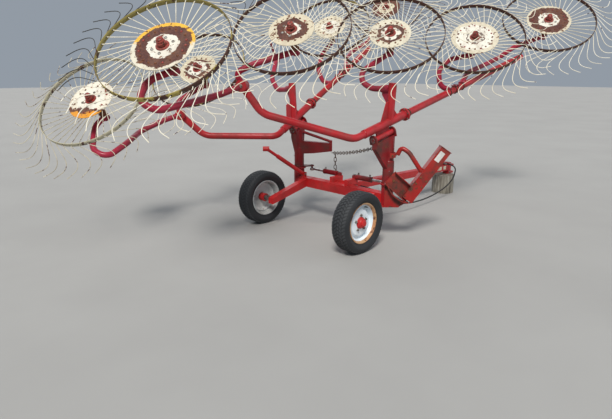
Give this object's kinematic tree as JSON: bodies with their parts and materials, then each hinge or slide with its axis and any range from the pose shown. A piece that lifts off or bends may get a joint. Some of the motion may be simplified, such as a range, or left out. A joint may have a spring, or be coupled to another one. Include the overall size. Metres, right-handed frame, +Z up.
{
  "type": "finger wheel hay rake",
  "caption": "Trailed hay rake on two road wheels, with wings of tined finger wheels on bent tube arms folded up above the frame and its drawbar resting on a stump.",
  "frame": {"origin": "middle of the vertical bore through the drawbar clevis", "axes": "+X forward along the drawbar, +Y to the left, +Z up along the clevis bore"},
  "size_m": [6.3339, 4.1711, 3.3228],
  "materials": {
    "axle_steel": "machined",
    "chain_steel": "rusty",
    "cream_wire": "satin",
    "hose_rubber": "matte",
    "red_paint": "semi-gloss",
    "rim_paint": "satin",
    "rod_chrome": "polished",
    "stump_wood": "weathered",
    "tyre_rubber": "matte"
  },
  "bodies": {
    "frame": {"axle_left": "axle_steel", "axle_right": "axle_steel", "column_base_left": "red_paint", "column_base_right": "red_paint", "coupler_hose": "red_paint", "cross_beam": "red_paint", "drawbar": "red_paint", "drawbar_stump": "stump_wood", "hitch_head": "red_paint", "hose_front": "hose_rubber", "stand_right": "red_paint", "strut_left": "red_paint", "wheel_arm_left": "red_paint", "wheel_arm_right": "red_paint"},
    "road_wheel_left": {"tyre_left": "tyre_rubber", "rim_left": "rim_paint"},
    "barrel_left": {"barrel_left": "red_paint"},
    "rod_left": {"rod_left": "rod_chrome"},
    "left_wing": {"arm_left_middle": "red_paint", "arms_left_front": "red_paint", "arms_left_rear": "red_paint", "beam_left": "red_paint", "extension_left": "red_paint", "fork_left": "red_paint"},
    "road_wheel_right": {"tyre_right": "tyre_rubber", "rim_right": "rim_paint"},
    "barrel_right": {"barrel_right": "red_paint"},
    "rod_right": {"rod_right": "rod_chrome"},
    "right_wing": {"arm_right_middle": "red_paint", "arms_right_front": "red_paint", "arms_right_rear": "red_paint", "beam_right": "red_paint", "extension_right": "red_paint", "fork_right": "red_paint", "tie_chain": "chain_steel"},
    "finger_wheel_a": {"finger_wheel_a": "cream_wire"},
    "finger_wheel_b": {"finger_wheel_b": "cream_wire"},
    "finger_wheel_c": {"finger_wheel_c": "cream_wire"},
    "finger_wheel_d": {"finger_wheel_d": "cream_wire"},
    "finger_wheel_e": {"finger_wheel_e": "cream_wire"},
    "finger_wheel_f": {"finger_wheel_f": "cream_wire"},
    "finger_wheel_g": {"finger_wheel_g": "cream_wire"},
    "finger_wheel_h": {"finger_wheel_h": "cream_wire"},
    "finger_wheel_i": {"finger_wheel_i": "cream_wire"}
  },
  "joints": [
    {"name": "road_wheel_left_spin", "type": "hinge", "parent": "frame", "child": "road_wheel_left", "pos_m": [-3.16, 0.74, -0.025], "axis": [0, 1, 0], "continuous": true},
    {"name": "left_wing_swing", "type": "hinge", "parent": "frame", "child": "left_wing", "pos_m": [-2.6, 0.68, 0.28], "axis": [0, 0, 1], "range_deg": [0, 6]},
    {"name": "barrel_left_turn", "type": "hinge", "parent": "frame", "child": "barrel_left", "pos_m": [-2.47, 0.115, 0.245], "axis": [0, 0, 1], "range_deg": [-1.27, 0]},
    {"name": "rod_left_slide", "type": "slide", "parent": "barrel_left", "child": "rod_left", "axis": [0, 1, 0], "range_m": [0, 0.01474]},
    {"name": "road_wheel_right_spin", "type": "hinge", "parent": "frame", "child": "road_wheel_right", "pos_m": [-3.16, -0.74, -0.025], "axis": [0, 1, 0], "continuous": true},
    {"name": "right_wing_swing", "type": "hinge", "parent": "frame", "child": "right_wing", "pos_m": [-2.6, -0.68, 0.28], "axis": [0, 0, -1], "range_deg": [0, 6]},
    {"name": "barrel_right_turn", "type": "hinge", "parent": "frame", "child": "barrel_right", "pos_m": [-2.47, -0.115, 0.245], "axis": [0, 0, -1], "range_deg": [-1.27, 0]},
    {"name": "rod_right_slide", "type": "slide", "parent": "barrel_right", "child": "rod_right", "axis": [0, -1, 0], "range_m": [0, 0.01474]},
    {"name": "finger_wheel_a_spin", "type": "hinge", "parent": "right_wing", "child": "finger_wheel_a", "pos_m": [-4.8, -0.06, 1.62], "axis": [-0.5878, -0.3817, 0.7133], "continuous": true},
    {"name": "finger_wheel_b_spin", "type": "hinge", "parent": "right_wing", "child": "finger_wheel_b", "pos_m": [-3.56, -0.21, 1.8], "axis": [-0.5878, -0.3817, 0.7133], "continuous": true},
    {"name": "finger_wheel_c_spin", "type": "hinge", "parent": "right_wing", "child": "finger_wheel_c", "pos_m": [-2.42, -0.5, 1.81], "axis": [-0.5878, -0.3817, 0.7133], "continuous": true},
    {"name": "finger_wheel_d_spin", "type": "hinge", "parent": "right_wing", "child": "finger_wheel_d", "pos_m": [-1.245, -0.843, 1.807], "axis": [-0.5878, -0.3817, 0.7133], "continuous": true},
    {"name": "finger_wheel_e_spin", "type": "hinge", "parent": "right_wing", "child": "finger_wheel_e", "pos_m": [0.053, -1.169, 2.062], "axis": [-0.5878, -0.3817, 0.7133], "continuous": true},
    {"name": "finger_wheel_f_spin", "type": "hinge", "parent": "left_wing", "child": "finger_wheel_f", "pos_m": [-4.85, 1.32, 1.16], "axis": [-0.6298, -0.3349, 0.7009], "continuous": true},
    {"name": "finger_wheel_g_spin", "type": "hinge", "parent": "left_wing", "child": "finger_wheel_g", "pos_m": [-3.61, 1.3, 1.46], "axis": [-0.6298, -0.3349, 0.7009], "continuous": true},
    {"name": "finger_wheel_h_spin", "type": "hinge", "parent": "left_wing", "child": "finger_wheel_h", "pos_m": [-1.48, 1.21, 2.03], "axis": [-0.6298, -0.3349, 0.7009], "continuous": true},
    {"name": "finger_wheel_i_spin", "type": "hinge", "parent": "left_wing", "child": "finger_wheel_i", "pos_m": [-0.178, 1.22, 2.383], "axis": [-0.6298, -0.3349, 0.7009], "continuous": true}
  ],
  "couplings": [
    {"joint": "barrel_left_turn", "follows": "left_wing_swing", "ratio": -0.19411},
    {"joint": "rod_left_slide", "follows": "left_wing_swing", "m_per_rad": 0.13594},
    {"joint": "barrel_right_turn", "follows": "right_wing_swing", "ratio": -0.19411},
    {"joint": "rod_right_slide", "follows": "right_wing_swing", "m_per_rad": 0.13594}
  ]
}
